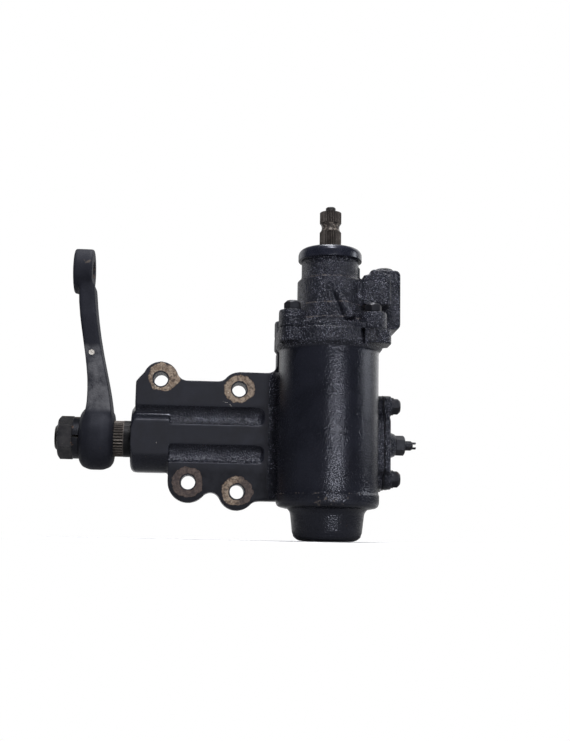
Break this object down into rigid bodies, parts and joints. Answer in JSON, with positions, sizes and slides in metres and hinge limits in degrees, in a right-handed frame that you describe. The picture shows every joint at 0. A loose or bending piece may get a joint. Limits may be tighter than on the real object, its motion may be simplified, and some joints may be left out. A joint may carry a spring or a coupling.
{
  "type": "power steering gearbox",
  "caption": "Recirculating-ball power steering gearbox: cast housing with chassis flange, splined input shaft turning a sector shaft with a tapered-eye pitman arm.",
  "frame": {"origin": "On the chassis mounting face, level with the sector shaft axis, at the middle of the four-hole pattern along the sector shaft", "axes": "+X along the sector shaft towards the side cover, +Y from the chassis face into the box, +Z along the worm axis towards the input shaft"},
  "size_m": [0.3477, 0.1481, 0.3146],
  "materials": {
    "housing_paint": "semi-gloss black paint over grainy cast iron",
    "arm_paint": "semi-gloss black paint over forged steel, chipped at the eye",
    "painted_bolts": "black painted steel fasteners, worn at the corners",
    "worn_steel": "bare brownish steel, worn bright on the spline tips",
    "plain_steel": "machined steel",
    "bearing_steel": "ground and polished bearing steel",
    "dust_rubber": "glossy black moulded rubber",
    "seal_rubber": "black oil-resistant rubber",
    "ring_plastic": "dark low-friction sealing ring",
    "gasket": "dark grey fibre gasket",
    "seat_brass": "turned brass",
    "bush_bronze": "turned bronze"
  },
  "bodies": {
    "housing": {"gear_housing": "housing_paint", "valve_housing": "housing_paint", "side_cover": "housing_paint", "side_cover_gasket": "gasket", "side_cover_bolts": "painted_bolts", "valve_housing_bolts": "painted_bolts", "valve_housing_o_ring": "seal_rubber", "adjusting_screw": "plain_steel", "adjuster_lock_nut": "painted_bolts", "gallery_plug": "painted_bolts", "port_seats": "seat_brass", "sector_bearing_shells": "bearing_steel", "sector_bearing_rollers": "bearing_steel", "sector_oil_seal": "seal_rubber", "sector_snap_ring": "plain_steel", "sector_dust_seal": "seal_rubber", "cover_bush": "bush_bronze", "worm_bearing_outer_race": "bearing_steel", "worm_bearing_balls": "bearing_steel", "worm_bearing_lock_ring": "plain_steel", "input_bearing_shell": "bearing_steel", "input_bearing_rollers": "bearing_steel", "input_oil_seal": "seal_rubber", "input_snap_ring": "plain_steel", "dust_cover": "dust_rubber"},
    "sector": {"sector_shaft": "plain_steel", "pitman_arm": "arm_paint", "pitman_nut": "painted_bolts", "pitman_lock_washer": "painted_bolts", "adjuster_retainer": "plain_steel"},
    "piston": {"rack_piston": "plain_steel", "piston_ring": "ring_plastic", "piston_plug": "plain_steel", "recirculating_balls": "bearing_steel", "ball_guide_tube": "plain_steel", "ball_guide_clamp": "plain_steel", "ball_guide_screws": "plain_steel"},
    "worm": {"worm_shaft": "plain_steel", "worm_bearing_inner_race": "bearing_steel", "valve_sleeve": "plain_steel", "sleeve_seal_rings": "ring_plastic", "sleeve_drive_pin": "bearing_steel", "torsion_bar_lower_pin": "bearing_steel"},
    "input": {"input_shaft": "worn_steel", "torsion_bar": "worn_steel", "torsion_bar_upper_pin": "bearing_steel"}
  },
  "joints": [
    {"name": "sector_turn", "type": "hinge", "parent": "housing", "child": "sector", "pos_m": [0, 0.028, 0], "axis": [1, 0, 0], "range_deg": [-46, 46]},
    {"name": "piston_slide", "type": "slide", "parent": "housing", "child": "piston", "axis": [0, 0, 1], "range_m": [-0.0232, 0.0232]},
    {"name": "worm_turn", "type": "hinge", "parent": "housing", "child": "worm", "pos_m": [0.112, -0.026, 0], "axis": [0, 0, 1], "range_deg": [-792, 792]},
    {"name": "stub_twist", "type": "hinge", "parent": "worm", "child": "input", "pos_m": [0.112, -0.026, 0], "axis": [0, 0, 1], "range_deg": [-4, 4], "stiffness_Nm_per_rad": 50, "deforming": ["torsion_bar"]}
  ],
  "couplings": [
    {"joint": "piston_slide", "follows": "sector_turn", "m_per_rad": -0.02875},
    {"joint": "worm_turn", "follows": "sector_turn", "ratio": 17.204}
  ]
}
